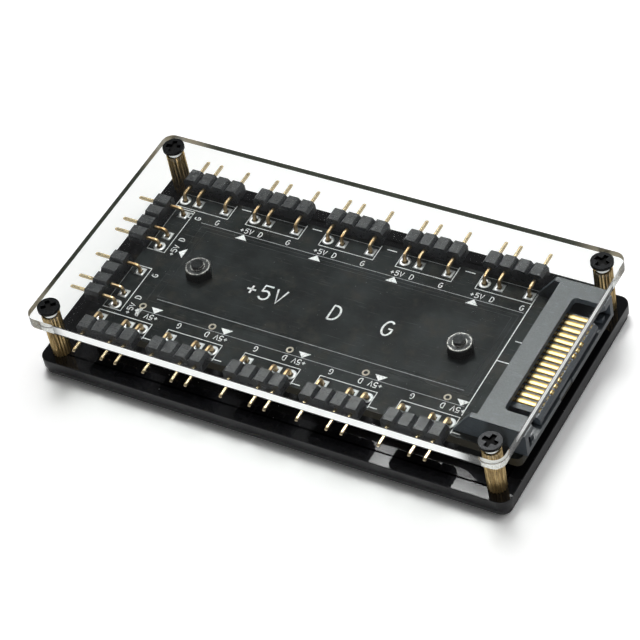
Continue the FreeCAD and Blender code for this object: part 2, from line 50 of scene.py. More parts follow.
ACRYLIC_IOR = 1.49
LEVEL_TILT = (0.5, 0.9)
WELD_GAP = 1e-6
BEVEL_TURN = math.radians(35)
EVEN = (1.0, 1.0, 1.0)
Triple = tuple[float, float, float]
Colour = Triple
Pair = tuple[float, float]
Point = Pair
Path = tuple[Point, ...]
Stroke = list[Point]


class Sock:
    """An output socket that takes part in Python arithmetic."""

    def __init__(self, graph: "Graph", socket: bpy.types.NodeSocket) -> None:
        """Keep a socket and the graph that it belongs to."""
        self.graph = graph
        self.socket = socket

    def maths(self, operation: str, *others: "Term") -> "Sock":
        """Feed this value and others to one Math node."""
        terms = dict(enumerate((self, *others)))
        return self.graph.add("ShaderNodeMath", terms, operation=operation)

    def flipped(self, operation: str, other: "Term") -> "Sock":
        """Feed another value and then this one to one Math node."""
        return self.graph.add("ShaderNodeMath", {0: other, 1: self}, operation=operation)

    __add__ = __radd__ = partialmethod(maths, "ADD")
    __sub__ = partialmethod(maths, "SUBTRACT")
    __rsub__ = partialmethod(flipped, "SUBTRACT")
    __mul__ = __rmul__ = partialmethod(maths, "MULTIPLY")
    __truediv__ = partialmethod(maths, "DIVIDE")
    __rtruediv__ = partialmethod(flipped, "DIVIDE")
    __pow__ = partialmethod(maths, "POWER")
    __rpow__ = partialmethod(flipped, "POWER")
    __abs__ = partialmethod(maths, "ABSOLUTE")
    most = partialmethod(maths, "MAXIMUM")

    def ramp(self, low: float, high: float) -> "Sock":
        """A smooth rise from 0 at the low value to 1 at the high one."""
        sockets = {"Value": self, "From Min": low, "From Max": high}
        return self.graph.add("ShaderNodeMapRange", sockets, interpolation_type="SMOOTHSTEP")


Term = Union[Sock, float]
Feed = Union[Sock, float, Sequence[float], bpy.types.Material]


class Graph:
    """A node tree that is written from Python."""

    def __init__(self, tree: bpy.types.NodeTree) -> None:
        """Start from an empty tree."""
        self.tree = tree
        tree.nodes.clear()

    def add(
        self,
        kind: str,
        sockets: Optional[Mapping[Union[str, int], Feed]] = None,
        output: Union[str, int] = 0,
        **settings: object,
    ) -> Sock:
        """Add one node.

        Args:
            kind: the node's type.
            sockets: values or links of its inputs, by name or number, colours without alpha.
            output: which of its outputs is wanted.
            settings: its properties, set before anything is plugged in.

        Returns:
            That output, or the node's first input where it has no output.
        """
        node = self.tree.nodes.new(kind)
        for name, value in settings.items():
            setattr(node, name, value)
        for key, value in (sockets or {}).items():
            socket = node.inputs[key]
            if isinstance(value, Sock):
                self.tree.links.new(value.socket, socket)
            else:
                socket.default_value = (*value, 1.0) if socket.type == "RGBA" else value
        return Sock(self, node.outputs[output] if node.outputs else node.inputs[0])

    def place(self, scale: Triple = EVEN, turn: float = 0.0) -> Sock:
        """Object coordinates in millimetres, turned about the vertical and stretched along each axis."""
        sockets = {"Vector": self.add("ShaderNodeTexCoord", output="Object"), "Rotation": (0, 0, turn)}
        return self.add("ShaderNodeMapping", {**sockets, "Scale": [axis / MM for axis in scale]})

    def axis(self, vector: Sock, name: str) -> Sock:
        """The X, Y or Z part of a vector."""
        return self.add("ShaderNodeSeparateXYZ", {0: vector}, name)

    def noise(self, vector: Sock, scale: float = 1.0, detail: float = 2.0, rough: float = 0.5) -> Sock:
        """Soft noise between 0 and 1, with so many lumps to the millimetre and finer layers in them."""
        sockets = {"Vector": vector, "Scale": scale, "Detail": detail, "Roughness": rough}
        return self.add("ShaderNodeTexNoise", sockets)

    def specks(self, vector: Sock, scale: float, size: float) -> Sock:
        """Scattered spots: 1 inside a spot, whose radius is a share of its cell, and 0 elsewhere."""
        far = self.add("ShaderNodeTexVoronoi", {"Vector": vector, "Scale": scale}, "Distance")
        return 1.0 - far.ramp(size * 0.6, size)

    def blend(self, share: Term, first: Feed, second: Feed) -> Sock:
        """A colour between two, by the share of the second, on sockets that only a number tells apart."""
        return self.add("ShaderNodeMix", {0: share, 6: first, 7: second}, 2, data_type="RGBA")

    def mix(self, share: Term, first: Sock, second: Sock) -> Sock:
        """A shader between two shaders, by the share of the second."""
        return self.add("ShaderNodeMixShader", {0: share, 1: first, 2: second})

    def bump(self, height: Sock, depth: float) -> Sock:
        """A normal from a height map in which a step of 1 is so many millimetres deep."""
        return self.add("ShaderNodeBump", {"Height": height, "Distance": depth * MM, "Strength": 1.0})

    def level(self) -> Sock:
        """1 on faces that lie level and 0 on upright ones."""
        normal = self.add("ShaderNodeNewGeometry", output="True Normal")
        return abs(self.axis(normal, "Z")).ramp(*LEVEL_TILT)

    def rays(self, *kinds: str) -> Sock:
        """1 for rays of any of the named kinds."""
        return reduce(Sock.most, [self.add("ShaderNodeLightPath", output=f"Is {kind} Ray") for kind in kinds])

    def shader(self, **sockets: Feed) -> Sock:
        """A Principled shader, its sockets named with underscores."""
        named = {name.replace("_", " "): value for name, value in sockets.items()}
        return self.add("ShaderNodeBsdfPrincipled", named)


def gain(colour: Colour, factor: float) -> Colour:
    """A colour brightened or darkened by a factor."""
    return (colour[0] * factor, colour[1] * factor, colour[2] * factor)


@dataclass(frozen=True)
class Finish:
    """What one surface is made of."""

    name: str
    colour: Colour
    roughness: float

    def material(self) -> bpy.types.Material:
        """The finish as a material, made once.

        Returns:
            The material.
        """
        found = bpy.data.materials.get(self.name)
        if found:
            return found
        made = bpy.data.materials.new(self.name)
        made.use_nodes = True
        made.diffuse_color = (*self.colour, 1.0)
        graph = Graph(made.node_tree)
        surface = self.paint(graph)
        graph.add("ShaderNodeOutputMaterial", {"Surface": surface})
        return made

    def paint(self, graph: Graph) -> Sock:
        """Write the finish's nodes in a material's tree and give its shader."""
        raise NotImplementedError


@dataclass(frozen=True)
class Moulded(Finish):
    """Moulded plastic with a fine spark grain, pale rubs and a little dust."""

    grain: float = 9.0
    grain_depth: float = 0.012
    rubs: float = 0.3
    sheen_gain: float = 1.6
    gloss: float = 0.5
    rub_way: Triple = (0.5, 6.0, 2.0)
    rub_turn: float = 0.5
    rub_gain: float = 3.2
    dust_share: float = 0.25
    sheen_share: float = 0.35

    def paint(self, graph: Graph) -> Sock:
        """Grain in the normal, rubs in colour and roughness.

        Args:
            graph: the material's tree.

        Returns:
            The shader.
        """
        spot = graph.place()
        grain = graph.noise(spot, self.grain, detail=3.0, rough=0.6)
        cloud = graph.noise(spot, 0.7, detail=4.0, rough=0.65)
        drawn = graph.noise(graph.place(self.rub_way, self.rub_turn), detail=3.0, rough=0.6)
        rub = (cloud * drawn).ramp(0.24, 0.46) * self.rubs
        dust = graph.specks(spot, 1.3, 0.07) * self.dust_share
        sheen = grain.ramp(0.35, 0.7) * self.sheen_share
        colour = graph.blend(rub + dust, self.colour, gain(self.colour, self.rub_gain))
        colour = graph.blend(sheen, colour, gain(self.colour, self.sheen_gain))
        roughness = self.roughness + (grain - 0.5) * 0.16 - rub * 0.15
        normal = graph.bump(grain, self.grain_depth)
        return graph.shader(
            Base_Color=colour, Roughness=roughness, Normal=normal, Specular_IOR_Level=self.gloss
        )


@dataclass(frozen=True)
class GlossSheet(Finish):
    """Cast black sheet with a mirror face, hair scratches and saw marks on its cut edges."""

    edge_roughness: float = 0.16
    hair_way: Triple = (0.15, 9.0, 1.0)
    hair_turn: float = 0.7
    saw_way: Triple = (5.0, 5.0, 0.15)
    saw_depth: float = 0.01
    dust_colour: Colour = (0.35, 0.35, 0.34)

    def paint(self, graph: Graph) -> Sock:
        """Clear faces with faint wear, duller edges.

        Args:
            graph: the material's tree.

        Returns:
            The shader.
        """
        level = graph.level()
        spot = graph.place()
        smear = graph.noise(spot, 0.09, detail=3.0, rough=0.6)
        hair = graph.noise(graph.place(self.hair_way, self.hair_turn)).ramp(0.66, 0.74)
        cut = graph.noise(graph.place(self.saw_way), rough=0.6)
        dust = graph.specks(spot, 0.55, 0.045)
        face = self.roughness + smear * 0.03 + hair * 0.05 + dust * 0.3
        roughness = face * level + (1.0 - level) * (self.edge_roughness + cut * 0.12)
        colour = graph.blend(dust * level * 0.6, self.colour, self.dust_colour)
        normal = graph.bump(cut * (1.0 - level), self.saw_depth)
        return graph.shader(Base_Color=colour, Roughness=roughness, Normal=normal, IOR=ACRYLIC_IOR)


@dataclass(frozen=True)
class ClearSheet(Finish):
    """Clear cast sheet: polished faces, frosted cut edges painted brighter than white as a painted glow,
    painted shade on cut edges seen from within with a painted reflection near the corners, and a painted
    highlight on the bored holes.
    """

    edge_roughness: float = 0.1
    saw_way: Triple = (3.2, 3.2, 0.12)
    bore: Point = (38.1, 19.1)
    bore_reach: Pair = (1.3, 1.5)
    corner_reach: Pair = (7.0, 1.5)
    # Painted light on the cut edges: shade seen from within, a tan reflection near the corners, a glow on the
    # frosted edges and a highlight on the hole walls.
    painted_edge_shade: Colour = (0.075, 0.082, 0.065)
    painted_corner_reflection: Colour = (0.4, 0.36, 0.28)
    edge_glow_gain: float = 1.25
    hole_highlight_gain: float = 0.98
    glow_share: float = 0.4
    edge_shade_share: float = 0.92
    middle: float = 0.0
    half_band: float = 0.78
    right_edge: float = 0.0
    right_cut: float = 0.58

    def band(self, graph: Graph) -> Sock:
        """Mask of the frosted part of the cut edge: its middle, and on the right only the upper part.

        Args:
            graph: the material's tree.

        Returns:
            The mask.
        """
        spot = graph.place()
        height = graph.axis(spot, "Z") - self.middle
        right = graph.axis(spot, "X").ramp(self.right_edge - 0.3, self.right_edge - 0.1)
        foot = height + self.half_band - right * self.right_cut
        return foot.ramp(-0.06, 0.06) * (1.0 - height.ramp(self.half_band - 0.1, self.half_band))

    def corners(self, graph: Graph) -> tuple[Sock, Sock]:
        """Masks of the plate's four corners and of the walls of its holes.

        Args:
            graph: the material's tree.

        Returns:
            The corner mask and the hole mask.
        """
        spot = graph.place()
        across = abs(graph.axis(spot, "X"))
        along = abs(graph.axis(spot, "Y"))
        bore_x, bore_y = self.bore
        far, near = self.corner_reach
        corner = across.ramp(bore_x - far, bore_x - near) * along.ramp(bore_y - far, bore_y - near)
        reach = ((across - bore_x) ** 2.0 + (along - bore_y) ** 2.0) ** 0.5
        return corner, 1.0 - reach.ramp(*self.bore_reach)

    def paint(self, graph: Graph) -> Sock:
        """Refracting body that lets lamp light through to what lies below.

        Args:
            graph: the material's tree.

        Returns:
            The shader.
        """
        wall = 1.0 - graph.level()
        corner, hole = self.corners(graph)
        stripe = graph.noise(graph.place(self.saw_way))
        smear = graph.noise(graph.place(), 0.08, detail=3.0, rough=0.6).ramp(0.5, 0.8)
        roughness = smear * 0.015 * (1.0 - wall) + wall * self.edge_roughness * stripe
        glass = graph.shader(
            Base_Color=self.colour, Roughness=roughness, Transmission_Weight=1.0, IOR=ACRYLIC_IOR
        )
        # Painted glow: the frosted edge is brighter than white, standing in for light piped through the
        # plate.
        piped = {"Color": gain(self.colour, self.edge_glow_gain)}
        glowing_frost = graph.add("ShaderNodeBsdfDiffuse", piped)
        glowing_frost = graph.mix(self.glow_share, glowing_frost, graph.add("ShaderNodeBsdfTranslucent", piped))
        # Painted shade: cut edges seen from within are a dark diffuse colour, tan near the corners as a
        # painted reflection, near white on the hole walls as a painted highlight.
        depth = graph.blend(corner, self.painted_edge_shade, self.painted_corner_reflection)
        depth = graph.blend(hole, depth, gain(self.colour, self.hole_highlight_gain))
        deep = graph.add("ShaderNodeBsdfDiffuse", {"Color": depth})
        inside = graph.add("ShaderNodeNewGeometry", output="Backfacing")
        # Share of the painted glow, varied along the saw stripes and cleared near the corners.
        worn = (0.84 + stripe * 0.16) * (1.0 - corner ** 3.0 * 0.9)
        glass = graph.mix(wall * (1.0 - inside) * worn * self.band(graph), glass, glowing_frost)
        glass = graph.mix(wall * inside * self.edge_shade_share, glass, deep)
        passing = graph.add("ShaderNodeBsdfTransparent", {"Color": self.colour})
        return graph.mix(graph.rays("Shadow"), glass, passing)


@dataclass(frozen=True)
class SolderMask(Finish):
    """Black solder mask: satin, cloudy with flux film, with fine wipe marks and dust."""

    gloss: float = 0.06
    weave_way: Triple = (1.0, 14.0, 1.0)
    weave_depth: float = 0.003
    wipe_way: Triple = (0.22, 7.0, 1.0)
    wipe_turn: float = 0.35
    film_gains: Pair = (0.6, 1.6)
    stain_colour: Colour = (0.034, 0.032, 0.027)
    dust_colour: Colour = (0.3, 0.31, 0.32)
    edge_colour: Colour = (0.03, 0.027, 0.02)

    def paint(self, graph: Graph) -> Sock:
        """Film and wipes change the gloss, dust the colour.

        Args:
            graph: the material's tree.

        Returns:
            The shader.
        """
        spot = graph.place()
        film = graph.noise(spot, 0.11, detail=4.0, rough=0.62)
        stain = graph.noise(spot, 0.28, detail=5.0, rough=0.7).ramp(0.48, 0.7)
        weave = graph.noise(graph.place(self.weave_way), detail=1.0, rough=0.4)
        wipe = graph.noise(graph.place(self.wipe_way, self.wipe_turn)).ramp(0.64, 0.72)
        dust = graph.specks(spot, 0.8, 0.05)
        thin, thick = self.film_gains
        colour = graph.blend(film.ramp(0.3, 0.75), gain(self.colour, thin), gain(self.colour, thick))
        colour = graph.blend(stain * 0.7, colour, self.stain_colour)
        colour = graph.blend(wipe * 0.12 + dust * 0.6, colour, self.dust_colour)
        colour = graph.blend(graph.level(), self.edge_colour, colour)
        roughness = self.roughness + (film - 0.5) * 0.16 - wipe * 0.05
        normal = graph.bump(weave, self.weave_depth)
        return graph.shader(
            Base_Color=colour, Roughness=roughness, Normal=normal, Specular_IOR_Level=self.gloss
        )


@dataclass(frozen=True)
class Metal(Finish):
    """Bare or plated metal with draw lines, tarnish and, where asked, dark vertical stripes of painted groove
    shade.
    """

    tarnish: Colour = (0.2, 0.12, 0.05)
    tarnish_share: float = 0.3
    lines: Triple = (1.0, 1.0, 0.1)
    line_depth: float = 0.004
    groove_shade_streaks: float = 0.0

    def overlay(self, graph: Graph, spot: Sock, colour: Sock) -> Sock:
        """The colour as it is, for metal with nothing laid over its tarnish."""
        return colour

    def paint(self, graph: Graph) -> Sock:
        """Tarnish in cloudy patches, painted groove shade in dark vertical stripes, draw lines in gloss and
        normal.

        Args:
            graph: the material's tree.

        Returns:
            The shader.
        """
        spot = graph.place()
        patch = graph.noise(spot, 0.8, detail=3.0, rough=0.6).ramp(0.45, 0.75) * self.tarnish_share
        drawn = graph.noise(graph.place(self.lines), 7.0)
        # Painted shade: dark vertical stripes in the tarnish colour stand in for the shade in the knurl
        # grooves.
        patch = patch.most((1.0 - drawn.ramp(0.38, 0.56)) * self.groove_shade_streaks)
        colour = graph.blend(patch, self.colour, self.tarnish)
        colour = self.overlay(graph, spot, colour)
        roughness = self.roughness + (drawn - 0.5) * 0.18 + patch * 0.2
        normal = graph.bump(drawn, self.line_depth)
        return graph.shader(Base_Color=colour, Metallic=1.0, Roughness=roughness, Normal=normal)


@dataclass(frozen=True)
class SolderedPin(Metal):
    """Smooth plated pins whose legs over the board are browner and duller."""

    left: float = 0.0
    deep: float = 0.0
    fade: float = 0.2

    def paint(self, graph: Graph) -> Sock:
        """Bright outside the blocks, brown and duller over the board.

        Args:
            graph: the material's tree.

        Returns:
            The shader.
        """
        spot = graph.place()
        across = abs(graph.axis(spot, "Y"))
        along = graph.axis(spot, "X")
        inside = 1.0 - across.ramp(self.deep - self.fade, self.deep)
        inside = inside * along.ramp(self.left, self.left + self.fade)
        patch = graph.noise(spot, 0.8, detail=3.0, rough=0.6).ramp(0.4, 0.75)
        share = inside * (0.55 + patch * 0.45) + (1.0 - inside) * patch * self.tarnish_share
        colour = graph.blend(share, self.colour, self.tarnish)
        roughness = self.roughness + (graph.noise(spot, 5.0) - 0.5) * 0.06 + inside * 0.06
        return graph.shader(Base_Color=colour, Metallic=1.0, Roughness=roughness)


@dataclass(frozen=True)
class PlatedRow(Metal):
    """Plated strips side by side: a painted highlight down the middle of each, painted shade on their flanks,
    and a painted shadow line where they leave the roof.
    """

    pitch: float = 1.27
    middle: float = 0.0
    lit_core_shift: float = -0.04
    lit_core: Pair = (0.12, 0.3)
    flank_shade: Colour = (0.27, 0.165, 0.035)
    roof_shadow: float = 0.0
    roof_shadow_reach: Pair = (0.05, 0.12)

    def overlay(self, graph: Graph, spot: Sock, colour: Sock) -> Sock:
        """Painted shade on the flanks and the painted roof shadow line, laid over the worn plating.

        Args:
            graph: the material's tree.
            spot: where the colour is read, in millimetres.
            colour: the worn plating.

        Returns:
            The colour with both laid over it.
        """
        # Painted highlight and shade across each strip, from its place in the row.
        across = graph.axis(spot, "Y") - self.middle
        turn = (across / self.pitch + 0.5).maths("FLOORED_MODULO", 1.0)
        side = (turn - 0.5) * self.pitch
        flank_shade = abs(side - self.lit_core_shift).ramp(*self.lit_core)
        roof_shadow = 1.0 - abs(graph.axis(spot, "X") - self.roof_shadow).ramp(*self.roof_shadow_reach)
        colour = graph.blend(flank_shade, colour, self.flank_shade)
        return graph.blend(roof_shadow * 0.85, colour, gain(self.flank_shade, 0.1))


@dataclass(frozen=True)
class BlackOxide(Finish):
    """Blackened steel with a thin oil sheen, bare edges and, where asked, painted shade below a given height.
    """

    bare: Colour = (0.3, 0.3, 0.31)
    recess_shade_top: float = -1.0
    metallic: float = 0.6
    recess_shade_colour: Colour = (0.002, 0.002, 0.002)
    recess_shade_edge: float = 0.08
    grit_depth: float = 0.006

    def wear_and_highlights(self, graph: Graph, spot: Sock) -> Sock:
        """Share of bare metal, in small flecks."""
        return graph.noise(spot, 3.0, detail=4.0, rough=0.7).ramp(0.62, 0.78) * 0.35

    def paint(self, graph: Graph) -> Sock:
        """Worn flecks on a dark coat; below the recess height painted shade, near black, dull and bare of
        shine.

        Args:
            graph: the material's tree.

        Returns:
            The shader.
        """
        spot = graph.place()
        grit = graph.noise(spot, 14.0)
        # Painted shade: below this height, as in a cross recess, the coat is painted near black.
        top = graph.axis(spot, "Z").ramp(self.recess_shade_top - self.recess_shade_edge, self.recess_shade_top)
        colour = graph.blend(self.wear_and_highlights(graph, spot) * top, self.colour, self.bare)
        colour = graph.blend(top, self.recess_shade_colour, colour)
        roughness = self.roughness + (grit - 0.5) * 0.2 + (1.0 - top) * 0.4
        normal = graph.bump(grit, self.grit_depth)
        return graph.shader(Base_Color=colour, Metallic=self.metallic, Roughness=roughness, Normal=normal)


@dataclass(frozen=True)
class HighlitNuts(BlackOxide):
    """A pair of blackened nuts with painted highlight rings in bare metal colour on the chamfer and at the
    mouth of the thread.
    """

    middle: Triple = (0.0, 0.0, 0.0)
    reach: float = 0.0
    mouth: float = 1.08
    mouth_reach: Pair = (0.03, 0.12)
    chamfer: float = 1.85
    chamfer_reach: Pair = (0.05, 0.2)
    highlight_depth: Pair = (-0.35, -0.2)

    def wear_and_highlights(self, graph: Graph, spot: Sock) -> Sock:
        """Share of bare metal: worn flecks, and two painted highlight rings on the top of each nut.

        Args:
            graph: the material's tree.
            spot: where the share is read, in millimetres.

        Returns:
            The share.
        """
        x, y, z = (graph.axis(spot, name) - start for name, start in zip("XYZ", self.middle))
        side = abs(x) - self.reach
        away = (side * side + y * y) ** 0.5
        mouth = 1.0 - abs(away - self.mouth).ramp(*self.mouth_reach)
        chamfer = 1.0 - abs(away - self.chamfer).ramp(*self.chamfer_reach)
        patchy = graph.noise(spot, 1.6, detail=3.0, rough=0.6).ramp(0.3, 0.6)
        # Painted highlight: two rings in bare metal colour where the chamfer and the mouth catch the light.
        rings = mouth.most(chamfer) * patchy * z.ramp(*self.highlight_depth)
        return rings.most(super().wear_and_highlights(graph, spot))


@dataclass(frozen=True)
class Ink(Finish):
    """Screen-printed ink, thin in places and a little ragged."""

    thin: Colour = (0.2, 0.2, 0.2)
    ragged_depth: float = 0.004

    def paint(self, graph: Graph) -> Sock:
        """Uneven cover over the mask.

        Args:
            graph: the material's tree.

        Returns:
            The shader.
        """
        spot = graph.place()
        cover = graph.noise(spot, 4.5, detail=3.0, rough=0.65).ramp(0.28, 0.5)
        fine = graph.noise(spot, 18.0)
        colour = graph.blend(cover, self.thin, self.colour)
        roughness = self.roughness + (fine - 0.5) * 0.2
        return graph.shader(
            Base_Color=colour, Roughness=roughness, Normal=graph.bump(fine, self.ragged_depth)
        )


@dataclass(frozen=True)
class Foam(Finish):
    """Closed-cell pad: matt, pitted and dusty at its rim."""

    cell_scale: float = 4.0
    cell_depth: float = 0.05
    lint_gain: float = 2.4

    def paint(self, graph: Graph) -> Sock:
        """Open cells on the cut faces.

        Args:
            graph: the material's tree.

        Returns:
            The shader.
        """
        spot = graph.place()
        sockets = {"Vector": spot, "Scale": self.cell_scale}
        cells = graph.add("ShaderNodeTexVoronoi", sockets, "Distance")
        lint = graph.noise(spot, 1.1, detail=4.0, rough=0.7).ramp(0.55, 0.85) * 0.4
        colour = graph.blend(lint, self.colour, gain(self.colour, self.lint_gain))
        roughness = self.roughness - cells * 0.12
        normal = graph.bump(cells, self.cell_depth)
        return graph.shader(Base_Color=colour, Roughness=roughness, Normal=normal)


@dataclass(frozen=True)
class Paper(Finish):
    """Studio paper that is shown brighter than what it throws back on the hub."""

    shown: Colour = (1.32, 1.32, 1.32)

    def paint(self, graph: Graph) -> Sock:
        """White where it is seen, also through the cover, and duller as a lamp."""
        tint = graph.blend(graph.rays("Camera", "Transmission"), self.colour, self.shown)
        return graph.add("ShaderNodeBsdfDiffuse", {"Color": tint})


PAD_FOAM = Foam("pad_foam", (0.016, 0.016, 0.017), 0.92)
BASE_SHEET = GlossSheet("base_sheet", (0.006, 0.006, 0.007), 0.05)
COVER_SHEET = ClearSheet("cover_sheet", (0.97, 0.985, 0.975), 0.0)
MASK = SolderMask("black_mask", (0.0165, 0.019, 0.0195), 0.22)
PILLAR = Metal(
    "pillar_metal", (0.68, 0.5, 0.24), 0.26, tarnish=(0.11, 0.065, 0.025), tarnish_share=0.55,
    lines=(1.0, 1.0, 0.06), line_depth=0.006, groove_shade_streaks=0.75,
)
SCREW = BlackOxide("blackened_screw", (0.01, 0.011, 0.012), 0.22)
NUT = HighlitNuts("blackened_nut", (0.035, 0.036, 0.037), 0.28, bare=(0.42, 0.41, 0.39), metallic=0.9)
# Painted glints: the stud threads are a much paler copy of the blackened screw metal, so that they glint.
GLINT_THREAD = BlackOxide("glint_thread", (0.3, 0.29, 0.28), 0.25, bare=(0.5, 0.48, 0.45), metallic=0.95)
SPACER = Moulded("moulded_spacer", (0.03, 0.03, 0.032), 0.5)
BLOCK = Moulded(
    "moulded_header", (0.015, 0.016, 0.018), 0.3, grain=4.0, rubs=0.7, sheen_gain=2.2, gloss=0.44
)
INLET = Moulded(
    "moulded_inlet", (0.024, 0.03, 0.036), 0.4, grain=3.6, grain_depth=0.04, rubs=0.4,
    sheen_gain=2.6, gloss=0.68,
)
PIN = SolderedPin("plated_pin", (0.8, 0.66, 0.42), 0.25, tarnish=(0.36, 0.21, 0.085), tarnish_share=0.2)
CONTACT = PlatedRow(
    "plated_contact", (0.72, 0.58, 0.31), 0.34, tarnish=(0.42, 0.28, 0.1), lines=(0.12, 1.0, 1.0)
)
RING = Metal(
    "worn_ring", (0.5, 0.45, 0.37), 0.45, tarnish=(0.16, 0.13, 0.09), tarnish_share=0.6,
    lines=EVEN, line_depth=0.01,
)
TIN = Metal(
    "tinned_pad", (0.86, 0.87, 0.88), 0.42, tarnish=(0.4, 0.4, 0.38), tarnish_share=0.35,
    lines=EVEN, line_depth=0.02,
)
WHITE_INK = Ink("white_ink", (0.86, 0.87, 0.87), 0.55)
# Faint grey print; on the closing lines beside the headers it is also painted shade from the blocks.
FAINT_AND_SHADED_INK = Ink("thin_ink", (0.42, 0.43, 0.44), 0.5, thin=(0.1, 0.1, 0.1))
RIDGE = SolderMask("mask_over_copper", (0.03, 0.033, 0.036), 0.3)
PAPER = Paper("studio_paper", (0.8, 0.8, 0.8), 1.0)


def stand(name: str, data: bpy.types.ID) -> bpy.types.Object:
    """Put a mesh, a lamp or the camera into the scene.

    Args:
        name: name of the object.
        data: what it shows.

    Returns:
        The object.
    """
    thing = bpy.data.objects.new(name, data)
    bpy.context.scene.collection.objects.link(thing)
    return thing


class GeometryTree(Graph):
    """A Geometry Nodes tree with named inputs that makes one piece from points or lines."""

    def __init__(self, name: str) -> None:
        """Start a tree that takes and gives geometry.

        Args:
            name: name of the piece.
        """
        super().__init__(bpy.data.node_groups.new(name, "GeometryNodeTree"))
        for way in ("INPUT", "OUTPUT"):
            self.tree.interface.new_socket("Geometry", in_out=way, socket_type="NodeSocketGeometry")
        self.entry = self.tree.nodes.new("NodeGroupInput")
        self.values: dict[str, float] = {}

    def geometry(self) -> Sock:
        """The mesh that the tree is used on."""
        return Sock(self, self.entry.outputs[0])

    def input(self, name: str, value: float) -> Sock:
        """A named input of the tree.

        Args:
            name: its name.
            value: the number that this use of the tree gets.

        Returns:
            The input, ready to plug in.
        """
        kind = "NodeSocketInt" if isinstance(value, int) else "NodeSocketFloat"
        socket = self.tree.interface.new_socket(name, in_out="INPUT", socket_type=kind)
        self.values[socket.identifier] = value
        return Sock(self, self.entry.outputs[name])

    def scatter(self, shape: Sock, turn: Feed = (0.0, 0.0, 0.0)) -> Sock:
        """A shape repeated at each point of the mesh, turned about the three axes."""
        sockets = {"Points": self.geometry(), "Instance": shape, "Rotation": turn}
        return self.add("GeometryNodeInstanceOnPoints", sockets)

    def make(self, source: bpy.types.Mesh, result: Sock, finish: Finish) -> bpy.types.Object:
        """Close the tree, run it on a mesh and keep the outcome as a plain mesh.

        Args:
            source: points or lines that the tree works on.
            result: the geometry that the tree has built.
            finish: what the piece is made of.

        Returns:
            The piece.
        """
        solid = self.add("GeometryNodeRealizeInstances", {0: result})
        sockets = {"Geometry": solid, "Material": finish.material()}
        dressed = self.add("GeometryNodeSetMaterial", sockets)
        self.add("NodeGroupOutput", {0: dressed})
        piece = stand(self.tree.name, source)
        modifier = piece.modifiers.new("tree", "NODES")
        modifier.node_group = self.tree
        for identifier, value in self.values.items():
            modifier[identifier] = value
        bpy.context.view_layer.update()
        evaluated = piece.evaluated_get(bpy.context.evaluated_depsgraph_get())
        mesh = bpy.data.meshes.new_from_object(evaluated)
        piece.modifiers.remove(modifier)
        piece.data = mesh
        mesh.name = piece.name
        return piece


def adopt(piece: bpy.types.Object) -> None:
    """Let a new piece ride on the hub.

    Args:
        piece: the new piece.
    """
    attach(piece, "root")
    LOG.info("piece %s: %d faces", piece.name, len(piece.data.polygons))


def coat(node: str, finish: Finish, bevel: float = 0.0) -> None:
    """Finish a CAD node and, if asked, round its edges.

    Args:
        node: the node's name.
        finish: what it is made of.
        bevel: width of the rounding, 0 for none.
    """
    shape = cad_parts[node]
    shape.data.materials.clear()
    shape.data.materials.append(finish.material())
    if bevel:
        weld = shape.modifiers.new("weld", "WELD")
        weld.merge_threshold = WELD_GAP
        edge = shape.modifiers.new("bevel", "BEVEL")
        edge.width = bevel
        edge.segments = 2
        edge.limit_method = "ANGLE"
        edge.angle_limit = BEVEL_TURN
    LOG.info("node %s: %s", node, finish.name)


@dataclass(frozen=True)
class Form:
    """A small form that follows lines or stands at points of the hub."""

    def grow(self, tree: GeometryTree) -> Sock:
        """The form's geometry, on the lines or points of a tree."""
        raise NotImplementedError

    def lay(self, name: str, paths: Iterable[Sequence[Vector]], finish: Finish, slot: str) -> None:
        """Lay the form everywhere as one piece.

        Args:
            name: name of the piece.
            paths: rows of points, each of one point where the form stands by itself.
            finish: what the piece is made of.
            slot: not used.
        """
        points: list[Vector] = []
        edges: list[tuple[int, int]] = []
        for path in paths:
            edges.extend((len(points) + i, len(points) + i + 1) for i in range(len(path) - 1))
            points.extend(path)
        lines = bpy.data.meshes.new(f"{name}_lines")
        lines.from_pydata(points, edges, [])
        tree = GeometryTree(name)
        adopt(tree.make(lines, self.grow(tree), finish))


@dataclass(frozen=True)
class Strip(Form):
    """A flat strip along lines on a level surface, half sunk in it."""

    width: float
    height: float

    def grow(self, tree: GeometryTree) -> Sock:
        """Sweep an oblong along the lines.

        Args:
            tree: the tree of the piece.

        Returns:
            The geometry.
        """
        curve = tree.add("GeometryNodeMeshToCurve", {0: tree.geometry()})
        curve = tree.add("GeometryNodeSetCurveNormal", {0: curve}, mode="Z_UP")
        sizes = {"Width": tree.input("Width", self.width), "Height": tree.input("Height", self.height)}
        section = tree.add("GeometryNodeCurvePrimitiveQuadrilateral", sizes)
        sockets = {"Curve": curve, "Profile Curve": section, "Fill Caps": True}
        return tree.add("GeometryNodeCurveToMesh", sockets)


@dataclass(frozen=True)
class Washer(Form):
    """A flat ring or square frame on a level surface, half sunk in it."""

    outer: float
    inner: float
    height: float = 0.05 * MM
    sides: int = 32

    def grow(self, tree: GeometryTree) -> Sock:
        """Sweep an oblong round a circle of few or many sides.

        Args:
            tree: the tree of the piece.

        Returns:
            The geometry.
        """
        outer, inner = tree.input("Outer", self.outer), tree.input("Inner", self.inner)
        around = {"Resolution": tree.input("Sides", self.sides), "Radius": (outer + inner) * 0.5}
        path = tree.add("GeometryNodeCurvePrimitiveCircle", around, mode="RADIUS")
        path = tree.add("GeometryNodeSetCurveNormal", {0: path}, mode="Z_UP")
        sizes = {"Width": outer - inner, "Height": tree.input("Height", self.height)}
        section = tree.add("GeometryNodeCurvePrimitiveQuadrilateral", sizes)
        ring = tree.add("GeometryNodeCurveToMesh", {"Curve": path, "Profile Curve": section})
        turn = tree.add("ShaderNodeCombineXYZ", {"Z": tree.input("Turn", math.pi / self.sides)})
        return tree.scatter(ring, turn)


